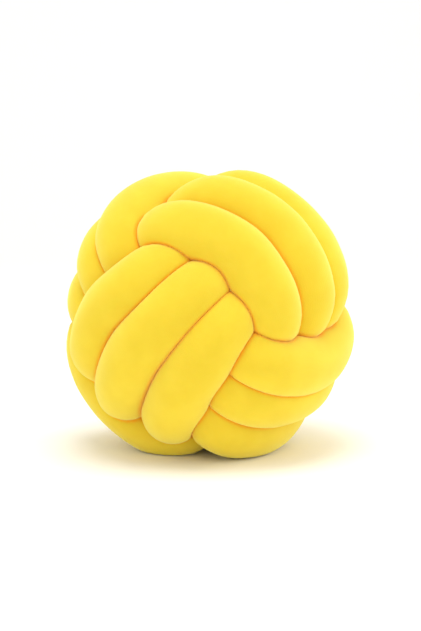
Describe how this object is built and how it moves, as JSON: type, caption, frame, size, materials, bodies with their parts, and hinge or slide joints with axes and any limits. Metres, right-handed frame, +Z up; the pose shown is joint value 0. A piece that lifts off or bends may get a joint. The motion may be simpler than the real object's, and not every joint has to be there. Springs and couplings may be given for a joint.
{
  "type": "knot ball cushion",
  "caption": "Round decorative cushion tied from one long stuffed tube of yellow knit, its turns crossing over and under each other in bands.",
  "frame": {"origin": "centre of the bounding box's footprint, on the surface that the cushion lies on", "axes": "+Z up, away from the flat spot that the cushion rests on; -Y towards the viewer of the picture, +X to the viewer's right"},
  "size_m": [0.2946, 0.2974, 0.2816],
  "materials": {
    "yellow_knit": "matte, finely knitted, slightly plush"
  },
  "bodies": {
    "root": {"knotted_tube": "yellow_knit"}
  },
  "joints": []
}
